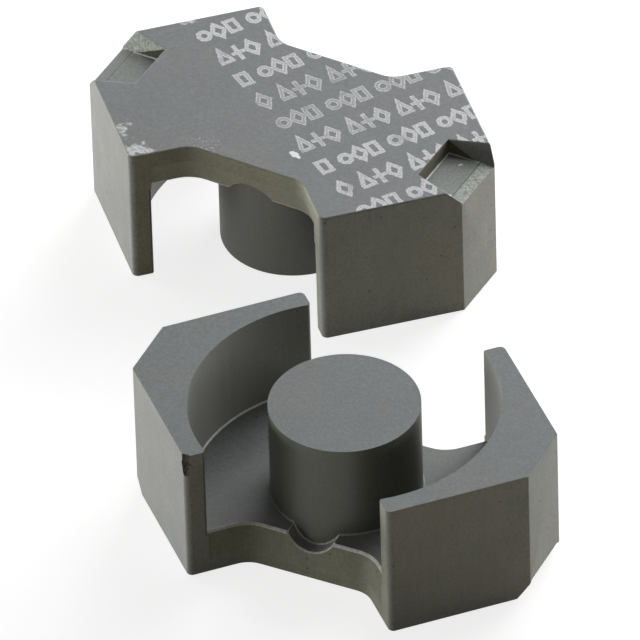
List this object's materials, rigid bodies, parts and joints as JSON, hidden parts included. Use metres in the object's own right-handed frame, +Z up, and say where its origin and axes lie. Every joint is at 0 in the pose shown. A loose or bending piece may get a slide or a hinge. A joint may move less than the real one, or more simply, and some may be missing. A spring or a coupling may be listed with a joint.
{
  "type": "rectangular module ferrite core",
  "caption": "Rectangular module ferrite core in matching halves: waisted plate, round centre post, outer walls round the winding space, clamp recesses in the back.",
  "frame": {"origin": "centre of the back face of the front half, where its post axis meets the surface that the set stands on", "axes": "+Z up along the post of the front half; +X along the long diagonal of the front half; +Y across its open sides, towards the rear half"},
  "size_m": [0.0654, 0.0662, 0.015],
  "materials": {
    "ferrite": "satin dark grey, as sintered, mating faces ground"
  },
  "bodies": {
    "root": {"front_half": "ferrite", "rear_half": "ferrite"}
  },
  "joints": []
}
